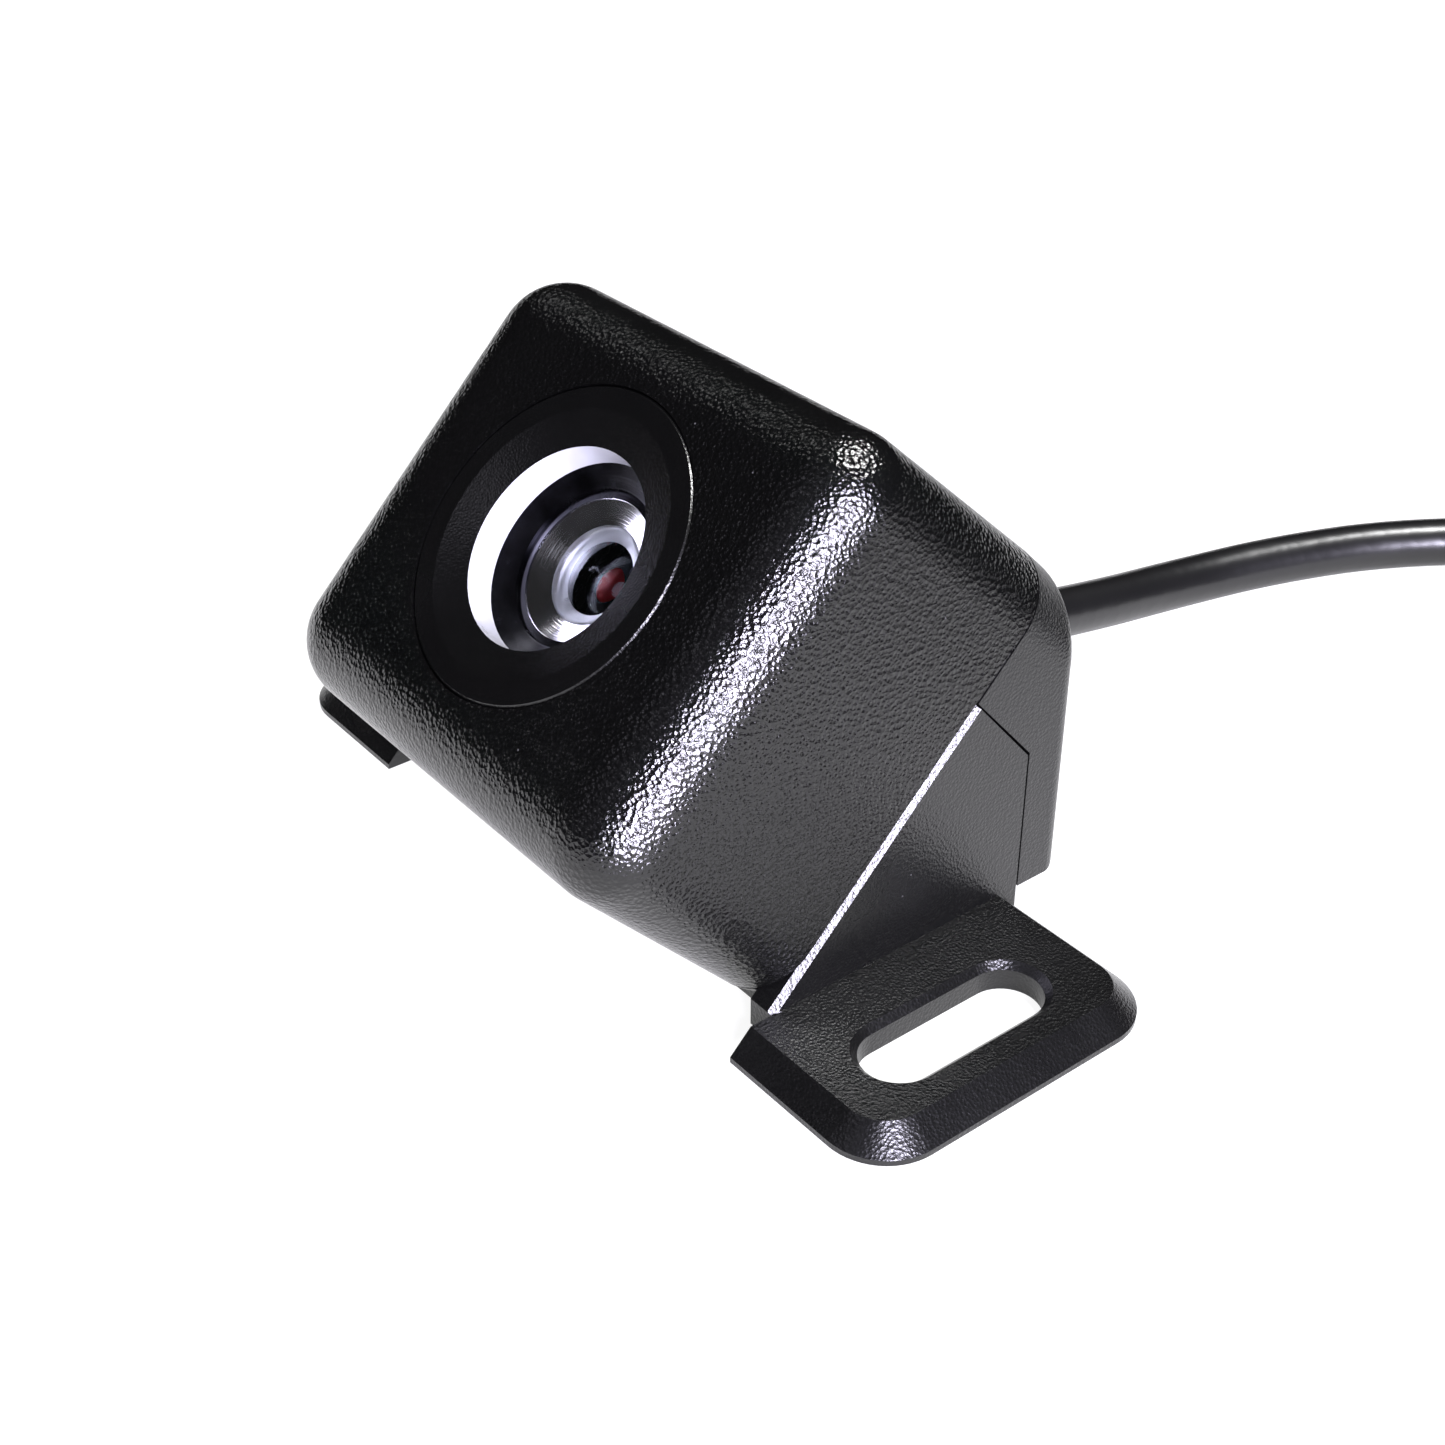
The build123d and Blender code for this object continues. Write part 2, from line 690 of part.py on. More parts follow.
# ---------------------------------------------------------------- bracket
with BuildPart() as bracket:
    with BuildSketch():
        with Locations((0, (bracket_back + base_front) / 2)):
            Rectangle(body_width, bracket_back - base_front)
    extrude(amount=plate)
    for sign in (-1, 1):
        with BuildSketch():
            with Locations((sign * (half + ear_reach / 2), bracket_shift)):
                Rectangle(ear_reach, bracket_length)
        extrude(amount=plate)
    tips = bracket.edges().filter_by(Axis.Z).group_by(Axis.X)
    fillet(tips[0] + tips[-1], radius=ear_corner)
    # the ears' front edges slope back from the mounting face
    front_edges = bracket.edges().filter_by(Axis.X).group_by(Axis.Y)[0].group_by(Axis.Z)[-1]
    chamfer(front_edges, length=plate * 0.8)
    for sign in (-1, 1):
        with BuildSketch(Plane.YZ.offset(sign * half)):
            with BuildLine():
                Polyline(*cheek_outline, close=True)
            make_face()
        extrude(amount=-sign * plate)
    # the cheeks' slanted front edges are broken, so they catch the light
    for sign in (-1, 1):
        with BuildSketch(Plane(origin=(sign * half, *cheek_outline[1]), x_dir=(sign, 0, 0), z_dir=up_face)):
            with BuildLine():
                Polyline((fit_gap, -sign * fit_gap), (-cheek_break - fit_gap, -sign * fit_gap),
                         (fit_gap, sign * (cheek_break + fit_gap)), close=True)
            make_face()
        extrude(amount=cheek_height, mode=Mode.SUBTRACT)
    with BuildSketch():
        with Locations((-slot_spacing / 2, 0), (slot_spacing / 2, 0)):
            SlotOverall(slot_length, slot_width, rotation=90)
    extrude(amount=plate, mode=Mode.SUBTRACT)
    rims = bracket.faces().sort_by(Axis.Z).filter_by(Plane.XY).filter_by(
        lambda face: abs(face.center().Z - plate) < 0.01)
    slot_rims = [edge for face in rims for wire in face.inner_wires() for edge in wire.edges()]
    chamfer(slot_rims, length=slot_rim)
    with BuildSketch():
        with Locations(*base_screws):
            Circle(base_screw_radius + fit_gap)
    extrude(amount=plate, mode=Mode.SUBTRACT)
    for spot in base_screws:
        with BuildSketch(Plane.XZ.offset(-spot[1])):
            with BuildLine():
                Polyline((spot[0], 0), (spot[0] + base_head_radius + fit_gap, 0),
                         (spot[0] + base_screw_radius + fit_gap, base_head_depth),
                         (spot[0], base_head_depth), close=True)
            make_face()
        revolve(axis=Axis((spot[0], spot[1], 0), (0, 0, 1)), mode=Mode.SUBTRACT)
save(bracket, "bracket")

with BuildPart() as bracket_screws:
    for spot in base_screws:
        with BuildSketch(Plane.XZ.offset(-spot[1])):
            with BuildLine():
                Polyline((spot[0], 0.1), (spot[0] + base_head_radius, 0.1),
                         (spot[0] + base_screw_radius, base_head_depth),
                         (spot[0] + base_screw_radius, base_screw_length - 0.2),
                         (spot[0], base_screw_length - 0.2), close=True)
            make_face()
        revolve(axis=Axis((spot[0], spot[1], 0), (0, 0, 1)))
save(bracket_screws, "bracket_screws")

# ---------------------------------------------------------------- gland, wires and cable
with BuildPart() as cable_gland:
    with BuildSketch(gland_section):
        with BuildLine():
            Polyline(
                (cable_radius, sheath_end), (gland_neck, sheath_end), (gland_neck, back_y),
                (gland_flange, back_y), (gland_flange, back_y + gland_flange_depth),
                (boot_root, back_y + gland_flange_depth), (cable_radius + 0.45, boot_end),
                (cable_radius, boot_end), close=True)
        make_face()
    revolve(axis=exit_axis)
save(cable_gland, "cable_gland")

with BuildPart() as cable_wires:
    plug_back_plane = lens_plane(inner_plug_back)
    sheath_plane = Plane(origin=(0, sheath_end, exit_height), x_dir=(1, 0, 0), z_dir=(0, 1, 0))
    for side, bearing in ((-1.5, 135), (-0.5, 225), (0.5, 45), (1.5, -45)):
        with BuildSketch(plug_back_plane) as wire_foot:
            with Locations((side * wire_pitch, header_spot[1])):
                Circle(wire_radius)
        with BuildSketch(sheath_plane) as wire_head:
            with Locations((wire_lay * cos(radians(bearing)), wire_lay * sin(radians(bearing)))):
                Circle(wire_radius)
        loft([wire_foot.sketch, wire_head.sketch])
save(cable_wires, "cable_wires")


def corner_radii(points):
    """At each corner, 0.45 of the shorter run over the tangent of half the turn."""
    radii = []
    for before, corner, after in zip(points, points[1:], points[2:]):
        run_in, run_out = Vector(*corner) - Vector(*before), Vector(*after) - Vector(*corner)
        turn = radians(run_in.get_angle(run_out))
        radii.append(0.45 * min(run_in.length, run_out.length) / tan(turn / 2))
    return radii


def on_coil(angle, lane, height):
    """A point on one lane of the coil."""
    return (coil_centre[0] + lane * cos(radians(angle)),
            coil_centre[1] + lane * sin(radians(angle)), height)


coil_low = tie_thickness + cable_radius
coil_high = coil_low + 2 * cable_radius
coil_entry = on_coil(coil_start, coil_lanes[-1], coil_low)
coil_exit = on_coil(coil_end, coil_lanes[-1], coil_high)

cable_route = [
    (0, sheath_end, exit_height),
    (0, boot_end + 4.6, exit_height),
    (-0.3, 30.0, 2.1),
    (-0.45, 37.8, 1.5),
    (1.0, 45.2, 1.5),
    (4.0, 52.8, 1.5),
    (9.4, 60.3, 1.5),
    (17.2, 67.6, 1.6),
    (26.7, 73.9, 1.9),
    coil_entry,
]
tail_route = [
    coil_exit,
    (60.7, 59.7, 5.3),
    (64.0, 50.5, 6.5),
    plug_spot,
]

with BuildPart() as cable:
    with BuildLine() as cable_path:
        FilletPolyline(*cable_route, radius=corner_radii(cable_route))
    with BuildSketch(Plane(origin=cable_path.line @ 0, z_dir=cable_path.line % 0)):
        Circle(cable_radius)
    sweep(path=cable_path.line)
save(cable, "cable")

with BuildPart() as cable_tail:
    with BuildLine() as tail_path:
        FilletPolyline(*tail_route, radius=corner_radii(tail_route))
    with BuildSketch(Plane(origin=tail_path.line @ 0, z_dir=tail_path.line % 0)):
        Circle(cable_radius)
    sweep(path=tail_path.line)
save(cable_tail, "cable_tail")

# the coil's outer shape: three lanes wide and two high
coil_section_plane = Plane(origin=(coil_centre[0], coil_centre[1], tie_thickness), x_dir=(1, 0, 0),
                           z_dir=(0, -1, 0))
with BuildPart() as cable_coil:
    with BuildSketch(coil_section_plane):
        with Locations(((coil_lanes[0] + coil_lanes[-1]) / 2, 2 * cable_radius)):
            RectangleRounded(coil_lanes[-1] - coil_lanes[0] + 2 * cable_radius, 4 * cable_radius,
                             cable_radius * 0.9)
    revolve(axis=Axis((coil_centre[0], coil_centre[1], 0), (0, 0, 1)))
save(cable_coil, "cable_coil")

with BuildPart() as cable_tie:
    tie_slack = 0.15
    tie_plane = Plane(origin=on_coil(tie_angle, 0, tie_thickness),
                      x_dir=(cos(radians(tie_angle)), sin(radians(tie_angle)), 0),
                      z_dir=(sin(radians(tie_angle)), -cos(radians(tie_angle)), 0))
    tie_low, tie_high = coil_lanes[0] - cable_radius - tie_slack, coil_lanes[-1] + cable_radius
    tie_middle = ((tie_low + tie_high) / 2, 2 * cable_radius)
    with BuildSketch(tie_plane):
        with Locations(tie_middle):
            RectangleRounded(tie_high - tie_low + 2 * tie_thickness,
                             4 * cable_radius + 2 * tie_thickness, cable_radius)
            RectangleRounded(tie_high - tie_low, 4 * cable_radius, cable_radius * 0.6,
                             mode=Mode.SUBTRACT)
    extrude(amount=tie_width / 2, both=True)
save(cable_tie, "cable_tie")

# ---------------------------------------------------------------- plug
with BuildPart() as plug_relief:
    revolve(outline(
        plug_section, (0, 0), (cable_radius + 0.6, 0), (relief_radius, relief_length), (0, relief_length),
    ), axis=plug_axis)
save(plug_relief, "plug_relief")

with BuildPart() as plug_body:
    revolve(outline(
        plug_section,
        (0, relief_length), (grip_radius - 0.6, relief_length), (grip_radius, relief_length + 0.6),
        (grip_radius, grip_end), (spigot_radius, grip_end), (spigot_radius, spigot_end),
        (spigot_bore, spigot_end), (spigot_bore, insert_start), (0, insert_start),
    ), axis=plug_axis)
save(plug_body, "plug_body")

with BuildPart() as plug_insert:
    revolve(tube(plug_section, spigot_bore, 0, insert_start, insert_end), axis=plug_axis)
    with BuildSketch(plug_plane(insert_start)):
        with PolarLocations(pin_circle, 4, 45):
            Circle(pin_radius)
    extrude(amount=insert_end - insert_start, mode=Mode.SUBTRACT)
save(plug_insert, "plug_insert")

with BuildPart() as plug_pins:
    with BuildSketch(plug_plane(insert_start)):
        with PolarLocations(pin_circle, 4, 45):
            Circle(pin_radius)
    extrude(amount=pin_end - insert_start)
    fillet(plug_pins.faces().group_by(Axis.Y)[0].edges(), radius=0.3)
save(plug_pins, "plug_pins")

with BuildPart() as nut_clip:
    revolve(tube(plug_section, spigot_radius + 0.6, spigot_radius, clip_start, clip_start + clip_width),
            axis=plug_axis)
save(nut_clip, "nut_clip")

with BuildPart() as plug_seal:
    revolve(tube(plug_section, spigot_radius + 0.55, spigot_radius, plug_seal_start,
                 plug_seal_start + plug_seal_width), axis=plug_axis)
save(plug_seal, "plug_seal")

with BuildPart() as coupling_nut:
    revolve(outline(
        plug_section,
        (spigot_radius + nut_running_gap, nut_start), (nut_radius - 0.5, nut_start),
        (nut_radius, nut_start + 0.5), (nut_radius, nut_end - 0.4), (nut_radius - 0.4, nut_end),
        (nut_bore + 0.4, nut_end), (nut_bore, nut_end - 0.4), (nut_bore, nut_start + nut_web),
        (spigot_radius + nut_running_gap, nut_start + nut_web),
    ), axis=plug_axis)
    with BuildSketch(plug_plane(nut_start + 2.2)):
        with PolarLocations(nut_radius + 0.25, flute_count):
            Circle(0.6)
    extrude(amount=nut_end - nut_start - 4.4, mode=Mode.SUBTRACT)
save(coupling_nut, "coupling_nut")

turn_lengths = [2 * pi * lane for lane in coil_lanes[::-1] + coil_lanes[:-1]]
last_turn = radians(coil_start - coil_end) * coil_lanes[-1]
coil_length = sum(turn_lengths) + last_turn
print("cable radii", [round(radius, 1) for radius in corner_radii(cable_route)])
print("tail radii", [round(radius, 1) for radius in corner_radii(tail_route)])
for name, piece, path in (("cable", cable, cable_path), ("tail", cable_tail, tail_path)):
    expected = pi * cable_radius**2 * path.wire().length
    print(name, "length", round(path.wire().length, 1), "volume", round(piece.part.volume, 1),
          "section times length", round(expected, 1))
print("coil length", round(coil_length, 1), "whole cable",
      round(cable_path.wire().length + coil_length + tail_path.wire().length, 1))
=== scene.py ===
"""The looks of the bracket-mount reversing camera: its finishes, its cable and its table."""
from math import cos, radians, sin

import bpy
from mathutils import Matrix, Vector


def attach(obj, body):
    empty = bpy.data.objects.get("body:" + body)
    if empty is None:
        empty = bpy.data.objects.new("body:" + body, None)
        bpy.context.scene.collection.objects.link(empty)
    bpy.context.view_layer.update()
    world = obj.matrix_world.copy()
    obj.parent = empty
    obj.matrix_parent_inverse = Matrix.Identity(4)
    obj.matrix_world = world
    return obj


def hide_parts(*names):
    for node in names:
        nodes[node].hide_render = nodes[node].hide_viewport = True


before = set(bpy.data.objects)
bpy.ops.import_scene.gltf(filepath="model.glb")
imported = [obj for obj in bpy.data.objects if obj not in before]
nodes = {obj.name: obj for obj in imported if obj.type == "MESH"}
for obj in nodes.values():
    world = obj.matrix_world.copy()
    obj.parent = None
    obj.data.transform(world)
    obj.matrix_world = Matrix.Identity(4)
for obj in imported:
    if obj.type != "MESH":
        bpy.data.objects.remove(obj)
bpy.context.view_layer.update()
scene = bpy.context.scene
MM = 0.001


def mm(*point):
    """A point or a size in millimetres, as metres."""
    return tuple(MM * value for value in point)


# ---------------------------------------------------------------- camera
view_from = mm(72.36, -54.32, 66.24)
view_azimuth = 51.8
view_elevation = 33.13
lens_data = bpy.data.cameras.new("studio_camera")
lens_data.sensor_width = 36
lens_data.lens = 53.51
lens_data.clip_start = 0.005
lens_data.clip_end = 20
studio_camera = bpy.data.objects.new("studio_camera", lens_data)
scene.collection.objects.link(studio_camera)
studio_camera.location = view_from
studio_camera.rotation_euler = (radians(90 - view_elevation), 0, radians(view_azimuth))
scene.camera = studio_camera

# ---------------------------------------------------------------- cable
cable_thickness = 3.0
coil_centre = (40.0, 58.0)
coil_lanes = (13.5, 16.5, 19.5)
coil_low = 2.0
coil_high = 5.0
coil_start = 110.0
coil_end = 25.0
coil_step = 22.5          # degrees between two points of a turn
lane_change = 0.125       # the share of a turn that moves over to the next lane
cable_run = [
    (0, 10.4, 5.0), (0, 21.0, 5.0), (-0.5, 30.4, 2.8), (-0.6, 38.0, 1.6), (1.0, 45.2, 1.5),
    (4.0, 52.8, 1.5), (9.4, 60.3, 1.5), (17.2, 67.6, 1.6), (26.7, 73.9, 1.9),
]
tail_run = [(60.7, 59.7, 5.3), (64.0, 50.5, 6.5), (64.0, 42.5, 6.5)]


def on_coil(angle, lane, height):
    """A point on one lane of the coil."""
    turn = radians(angle)
    return (coil_centre[0] + lane * cos(turn), coil_centre[1] + lane * sin(turn), height)


def coil_turns():
    """Points of the winding: inwards along the bottom layer, up, and outwards along the top one."""
    levels = [(lane, coil_low) for lane in coil_lanes[::-1]]
    levels += [(lane, coil_high) for lane in coil_lanes]
    angle, points = coil_start, []
    for turn, (lane, height) in enumerate(levels):
        last = turn == len(levels) - 1
        sweep = coil_start - coil_end if last else 360
        steps = round(sweep / coil_step)
        for step in range(steps):
            share = step / steps
            after = levels[turn] if last else levels[turn + 1]
            move = max(0.0, share - (1 - lane_change)) / lane_change
            points.append(on_coil(angle - sweep * share, lane + (after[0] - lane) * move,
                                  height + (after[1] - height) * move))
    points.append(on_coil(coil_end, coil_lanes[-1], coil_high))
    return points


def smooth_curve(name, points, thickness, rings):
    """One open smooth line through space. Each of its points carries the cable's radius."""
    curve = bpy.data.curves.new(name, "CURVE")
    curve.dimensions = "3D"
    curve.bevel_depth = 1
    curve.bevel_resolution = 6
    curve.use_fill_caps = True
    curve.resolution_u = rings
    line = curve.splines.new("NURBS")
    line.points.add(len(points) - 1)
    for point, spot in zip(line.points, points):
        point.co = (*mm(*spot), 1)
        point.radius = thickness / 2 * MM
    line.order_u = 3
    line.use_endpoint_u = True
    piece = bpy.data.objects.new(name, curve)
    scene.collection.objects.link(piece)
    return piece


pigtail = smooth_curve("pigtail", cable_run + coil_turns() + tail_run, cable_thickness, 6)
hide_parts("cable", "cable_coil", "cable_tail")
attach(pigtail, "camera")


# ---------------------------------------------------------------- finishes
lens_face = (0, -7.455, 19.920)   # where the lens axis leaves the front face
speck_gap = 2.6
speck_radius = 0.06


def paint(colour):
    """An sRGB hex colour as linear light."""
    channels = [int(colour[at:at + 2], 16) / 255 for at in (1, 3, 5)]
    linear = [c / 12.92 if c <= 0.04045 else ((c + 0.055) / 1.055) ** 2.4 for c in channels]
    return (*linear, 1)


def add(tree, kind, values=(), links=(), **settings):
    """Adds a node with its settings, its own socket values, and the sockets that feed it."""
    node = tree.nodes.new(kind)
    for name, value in settings.items():
        setattr(node, name, value)
    for socket, value in dict(values).items():
        node.inputs[socket].default_value = value
    for socket, source in dict(links).items():
        tree.links.new(source, node.inputs[socket])
    return node


def lighter(colour, share):
    """The same colour with its light scaled."""
    return [channel * share for channel in colour[:3]] + [1]


def colour_of(mix):
    """The colour output of a Mix node, which has one output for each kind of value."""
    return mix.outputs[2]


def new_finish(name):
    """An empty material with its surface shader and where its pattern is read from."""
    material = bpy.data.materials.new(name)
    material.use_nodes = True
    tree = material.node_tree
    surface = tree.nodes["Principled BSDF"]
    place = add(tree, "ShaderNodeTexCoord").outputs["Object"]
    return material, tree, surface, place


def moulded(name, colour, roughness, grain, depth, fine=0.5, cloud_size=6.0, specks=0.0, ior=1.53):
    """Moulded plastic: the mould's surface shows as rounded pits of one grain size, finer ones between
    them, a gloss that drifts a little across the face, and here and there a speck of dust."""
    material, tree, surface, place = new_finish(name)
    pits = add(tree, "ShaderNodeTexVoronoi", {"Scale": 1 / (grain * MM)}, {"Vector": place})
    bits = add(tree, "ShaderNodeTexNoise", {"Scale": 2.6 / (grain * MM), "Detail": 1.0},
               {"Vector": place})
    rise = add(tree, "ShaderNodeMath", {1: fine}, {0: bits.outputs[0], 2: pits.outputs["Distance"]},
               operation="MULTIPLY_ADD")
    bump = add(tree, "ShaderNodeBump", {"Distance": depth * MM}, {"Height": rise.outputs[0]})
    cloud = add(tree, "ShaderNodeTexNoise", {"Scale": 1 / (cloud_size * MM), "Detail": 3.0},
                {"Vector": place})
    rough = add(tree, "ShaderNodeMapRange",
                {"From Min": 0.3, "From Max": 0.7, "To Min": roughness * 0.88, "To Max": roughness * 1.12},
                {"Value": cloud.outputs[0]})
    tint = add(tree, "ShaderNodeMix", {"A": paint(colour), "B": lighter(paint(colour), 1.35)},
               {"Factor": cloud.outputs[0]}, data_type="RGBA")
    shade = colour_of(tint)
    if specks:
        spots = add(tree, "ShaderNodeTexVoronoi", {"Scale": 1 / (speck_gap * MM)}, {"Vector": place})
        dust = add(tree, "ShaderNodeMapRange",
                   {"From Min": speck_radius / speck_gap, "From Max": 0.0, "To Max": specks},
                   {"Value": spots.outputs["Distance"]})
        dusty = add(tree, "ShaderNodeMix", {"B": paint("#8a8a8c")},
                    {"Factor": dust.outputs[0], "A": shade}, data_type="RGBA")
        shade = colour_of(dusty)
    tree.links.new(shade, surface.inputs["Base Color"])
    tree.links.new(rough.outputs[0], surface.inputs["Roughness"])
    tree.links.new(bump.outputs[0], surface.inputs["Normal"])
    surface.inputs["IOR"].default_value = ior
    return material


def turned(name, colour, roughness, groove, depth, metal=1.0, axis_turn=-45.0, axis_point=lens_face):
    """Metal from a lathe: fine grooves run round its axis and pull each light out into a fan."""
    material, tree, surface, place = new_finish(name)
    turn = radians(axis_turn)
    x, y, z = axis_point
    square = add(tree, "ShaderNodeMapping",
                 {"Location": mm(-x, z * sin(turn) - y * cos(turn), -y * sin(turn) - z * cos(turn)),
                  "Rotation": (turn, 0, 0)}, {"Vector": place})
    flat = add(tree, "ShaderNodeVectorMath", {1: (1, 1, 0)}, {0: square.outputs[0]}, operation="MULTIPLY")
    reach = add(tree, "ShaderNodeVectorMath", links={0: flat.outputs[0]}, operation="LENGTH")
    lines = add(tree, "ShaderNodeTexNoise", {"Scale": 1 / (groove * MM), "Detail": 2.0},
                {"W": reach.outputs["Value"]}, noise_dimensions="1D")
    bump = add(tree, "ShaderNodeBump", {"Distance": depth * MM}, {"Height": lines.outputs[0]})
    cloud = add(tree, "ShaderNodeTexNoise", {"Scale": 1 / (1.5 * MM), "Detail": 2.0}, {"Vector": place})
    rough = add(tree, "ShaderNodeMapRange",
                {"From Min": 0.3, "From Max": 0.7, "To Min": roughness * 0.8, "To Max": roughness * 1.2},
                {"Value": cloud.outputs[0]})
    tint = add(tree, "ShaderNodeMix", {"A": paint(colour), "B": lighter(paint(colour), 1.12)},
               {"Factor": cloud.outputs[0]}, data_type="RGBA")
    tree.links.new(colour_of(tint), surface.inputs["Base Color"])
    tree.links.new(rough.outputs[0], surface.inputs["Roughness"])
    tree.links.new(bump.outputs[0], surface.inputs["Normal"])
    surface.inputs["Metallic"].default_value = metal
    return material


def plated(name, colour, roughness):
    """Plated or drawn metal: bright, with a faint cloudiness and rub marks from the barrel."""
    material, tree, surface, place = new_finish(name)
    cloud = add(tree, "ShaderNodeTexNoise", {"Scale": 1 / (0.8 * MM), "Detail": 4.0}, {"Vector": place})
    rough = add(tree, "ShaderNodeMapRange",
                {"From Min": 0.3, "From Max": 0.7, "To Min": roughness * 0.75, "To Max": roughness * 1.3},
                {"Value": cloud.outputs[0]})
    tint = add(tree, "ShaderNodeMix", {"A": paint(colour), "B": lighter(paint(colour), 0.8)},
               {"Factor": cloud.outputs[0]}, data_type="RGBA")
    bump = add(tree, "ShaderNodeBump", {"Distance": 0.004 * MM}, {"Height": cloud.outputs[0]})
    tree.links.new(colour_of(tint), surface.inputs["Base Color"])
    tree.links.new(rough.outputs[0], surface.inputs["Roughness"])
    tree.links.new(bump.outputs[0], surface.inputs["Normal"])
    surface.inputs["Metallic"].default_value = 1.0
    return material


def optical_glass(name, colour, roughness=0.02, coat="#ffffff", through=1.0):
    """Polished glass with a thin coating that tints what it throws back."""
    material, tree, surface, place = new_finish(name)
    film = add(tree, "ShaderNodeTexNoise", {"Scale": 1 / (2.0 * MM), "Detail": 1.0}, {"Vector": place})
    rough = add(tree, "ShaderNodeMapRange", {"To Min": roughness * 0.5, "To Max": roughness * 1.5},
                {"Value": film.outputs[0]})
    tree.links.new(rough.outputs[0], surface.inputs["Roughness"])
    surface.inputs["Base Color"].default_value = paint(colour)
    surface.inputs["Specular Tint"].default_value = paint(coat)
    surface.inputs["Specular IOR Level"].default_value = 0.2
    surface.inputs["Transmission Weight"].default_value = through
    surface.inputs["IOR"].default_value = 1.52
    return material


def circuit_board(name):
    """Glass-fibre board under green solder mask, with copper tracks that show as paler, raised lines."""
    material, tree, surface, place = new_finish(name)
    tracks = add(tree, "ShaderNodeTexBrick",
                 {"Scale": 1 / (2.4 * MM), "Mortar Size": 0.06, "Mortar Smooth": 0.1, "Brick Width": 0.9,
                  "Row Height": 0.3, "Color1": paint("#0c4a22"), "Color2": paint("#0b431f"),
                  "Mortar": paint("#2c8a4c")}, {"Vector": place})
    bump = add(tree, "ShaderNodeBump", {"Distance": 0.03 * MM}, {"Height": tracks.outputs["Fac"]})
    tree.links.new(tracks.outputs["Color"], surface.inputs["Base Color"])
    tree.links.new(bump.outputs[0], surface.inputs["Normal"])
    surface.inputs["Roughness"].default_value = 0.3
    return material


def wire_insulation(name):
    """Four thin insulated wires, each in its own colour."""
    material, tree, surface, place = new_finish(name)
    island = add(tree, "ShaderNodeNewGeometry")
    bands = add(tree, "ShaderNodeValToRGB", links={"Fac": island.outputs["Random Per Island"]})
    ramp = bands.color_ramp
    ramp.interpolation = "CONSTANT"
    for at, colour in ((0.25, "#141414"), (0.5, "#e6b422"), (0.75, "#e8e8e4")):
        ramp.elements.new(at).color = paint(colour)
    ramp.elements[0].color = paint("#b01818")
    cloud = add(tree, "ShaderNodeTexNoise", {"Scale": 1 / (0.6 * MM)}, {"Vector": place})
    bump = add(tree, "ShaderNodeBump", {"Distance": 0.01 * MM}, {"Height": cloud.outputs[0]})
    tree.links.new(bands.outputs[0], surface.inputs["Base Color"])
    tree.links.new(bump.outputs[0], surface.inputs["Normal"])
    surface.inputs["Roughness"].default_value = 0.4
    return material


finishes = {
    # spark-eroded mould: coarse rounded grain that breaks a highlight into sparkles
    "housing_abs": moulded("eroded_abs", "#040404", 0.19, 0.22, 0.046, fine=0.4, specks=0.5),
    # finer erosion on the cover and the bracket: a dull satin with a faint speckle
    "cover_abs": moulded("satin_cover_abs", "#050505", 0.32, 0.16, 0.022),
    "bracket_abs": moulded("satin_bracket_abs", "#050505", 0.28, 0.16, 0.020, specks=0.4),
    "ring_black": moulded("trim_ring_abs", "#040404", 0.26, 0.12, 0.011, specks=0.7),
    "holder_black": moulded("holder_abs", "#0d0d0e", 0.45, 0.2, 0.01),
    "bright_sleeve": turned("satin_aluminium", "#c4c5ca", 0.34, 0.30, 0.012, metal=0.5),
    # a mirror-bright funnel with turning lines too fine to see one by one
    "bright_bezel": turned("polished_aluminium", "#f4f4f8", 0.14, 0.16, 0.004),
    "lens_black": turned("anodised_black", "#35353a", 0.24, 0.30, 0.006),
    "brass_spacer": turned("turned_brass", "#c9a255", 0.3, 0.10, 0.004),
    "lens_glass": optical_glass("coated_lens_glass", "#f2f4f4", 0.01, coat="#b9c4d6"),
    # coated element: its opaque red base colour is a painted red reflection; the red tint the coating
    # gives to what it throws back is its own
    "coated_glass": optical_glass("coated_glass_painted_red_reflection", "#a5141c", 0.08, "#ff5560", 0.0),
    "filter_glass": optical_glass("infrared_filter_glass", "#8a3a46", 0.03, "#ff8a94", 0.6),
    "black_rubber": moulded("seal_rubber", "#101010", 0.6, 0.2, 0.012),
    "chip_black": moulded("chip_epoxy", "#121213", 0.55, 0.08, 0.008),
    "circuit_green": circuit_board("solder_mask"),
    "zinc_steel": plated("zinc_plate", "#c4c6ca", 0.3),
    "bright_can": plated("drawn_can", "#d2d3d6", 0.22),
    "gold_pins": plated("gold_plate", "#d8ae52", 0.2),
    "ceramic_tan": moulded("fired_ceramic", "#a08560", 0.5, 0.1, 0.006),
    "ferrite_grey": moulded("pressed_ferrite", "#3a3a3c", 0.6, 0.08, 0.01),
    "header_white": moulded("nylon_header", "#ded9cb", 0.45, 0.3, 0.006),
    "gland_pvc": moulded("gland_pvc", "#0c0c0c", 0.42, 0.4, 0.010),
    "wire_jacket": wire_insulation("wire_insulation"),
    # extruded jacket: nearly smooth, with a soft gloss along its top
    "cable_pvc": moulded("cable_pvc", "#0a0a0a", 0.30, 0.9, 0.012, fine=0.15, cloud_size=9.0),
    "tie_black": moulded("tie_nylon", "#111112", 0.38, 0.3, 0.008),
    "plug_pvc": moulded("plug_pvc", "#0d0d0e", 0.42, 0.25, 0.016),
    "insert_grey": moulded("insert_nylon", "#4a4b4d", 0.45, 0.2, 0.006),
    "seal_orange": moulded("silicone_seal", "#c8581c", 0.45, 0.3, 0.006),
    "nut_black": moulded("nut_nylon", "#0e0e0f", 0.4, 0.2, 0.012),
}
for node in nodes.values():
    for held in node.material_slots:
        held.material = finishes[held.material.name]
pigtail.data.materials.append(finishes["cable_pvc"])

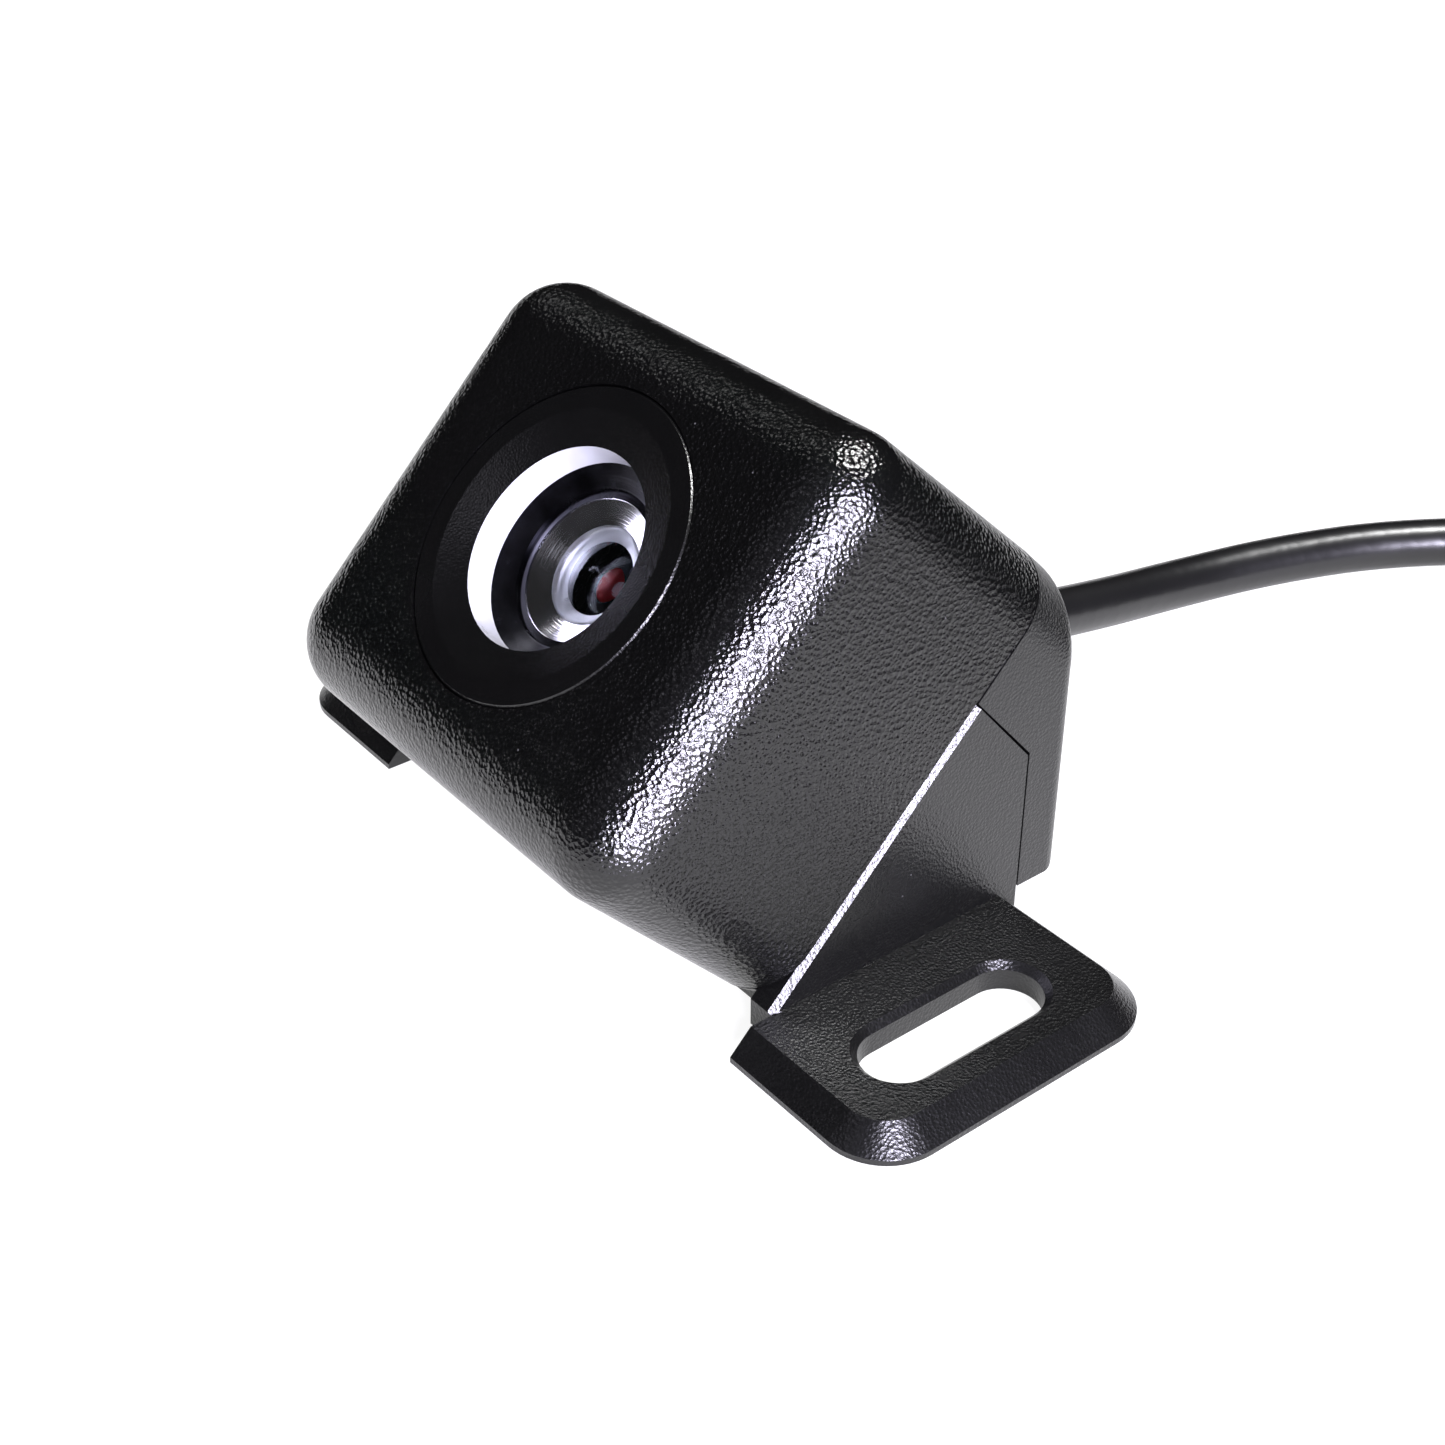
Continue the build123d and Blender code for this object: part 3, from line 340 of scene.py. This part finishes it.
# ---------------------------------------------------------------- table and light
table_mesh = bpy.data.meshes.new("table")
table_side, table_front, table_back = 300, -300, 100
corners = [(-table_side, table_front, 0), (table_side, table_front, 0), (table_side, table_back, 0),
           (-table_side, table_back, 0)]
table_mesh.from_pydata([mm(*corner) for corner in corners], [], [(0, 1, 2, 3)])
table = bpy.data.objects.new("table", table_mesh)
scene.collection.objects.link(table)
white, _, white_surface, _ = new_finish("white_table")
white_surface.inputs["Base Color"].default_value = paint("#7c7c7a")
white_surface.inputs["Roughness"].default_value = 0.8
white_surface.inputs["Specular IOR Level"].default_value = 0.2
white_surface.inputs["Emission Color"].default_value = (1, 1, 1, 1)
white_surface.inputs["Emission Strength"].default_value = 0.92
table_mesh.materials.append(white)


def lamp(name, towards, distance, size, power, colour="#ffffff", centre=(0, 5, 12)):
    """A round soft light in a direction from the object, facing it."""
    data = bpy.data.lights.new(name, "AREA")
    data.shape = "DISK"
    data.size = size * MM
    data.energy = power
    data.color = paint(colour)[:3]
    piece = bpy.data.objects.new(name, data)
    scene.collection.objects.link(piece)
    aim = Vector(towards).normalized()
    piece.location = Vector(mm(*centre)) + aim * distance * MM
    piece.rotation_euler = aim.to_track_quat("Z", "Y").to_euler()
    piece.visible_camera = False
    return piece


lamp("ceiling_panel", (-0.69, 0.113, 0.72), 700, 130, 0.16)
lamp("ceiling_lamp", (0.10, 0.38, 0.92), 600, 150, 5.0)
lamp("window", (0.885, -0.325, 0.335), 600, 330, 20, "#ece8ff")
lamp("pale_wall", (-0.17, -0.69, 0.70), 600, 140, 0.10, "#f4f2ff")

world = bpy.data.worlds.new("studio")
scene.world = world
world.use_nodes = True
sky = world.node_tree
backdrop = sky.nodes["Background"]
backdrop.inputs["Color"].default_value = (1, 1, 1, 1)
seen = add(sky, "ShaderNodeLightPath")
amount = add(sky, "ShaderNodeMapRange", {"To Min": 0.014, "To Max": 1.2},
             {"Value": seen.outputs["Is Camera Ray"]})
sky.links.new(amount.outputs[0], backdrop.inputs["Strength"])
scene.view_settings.view_transform = "Standard"
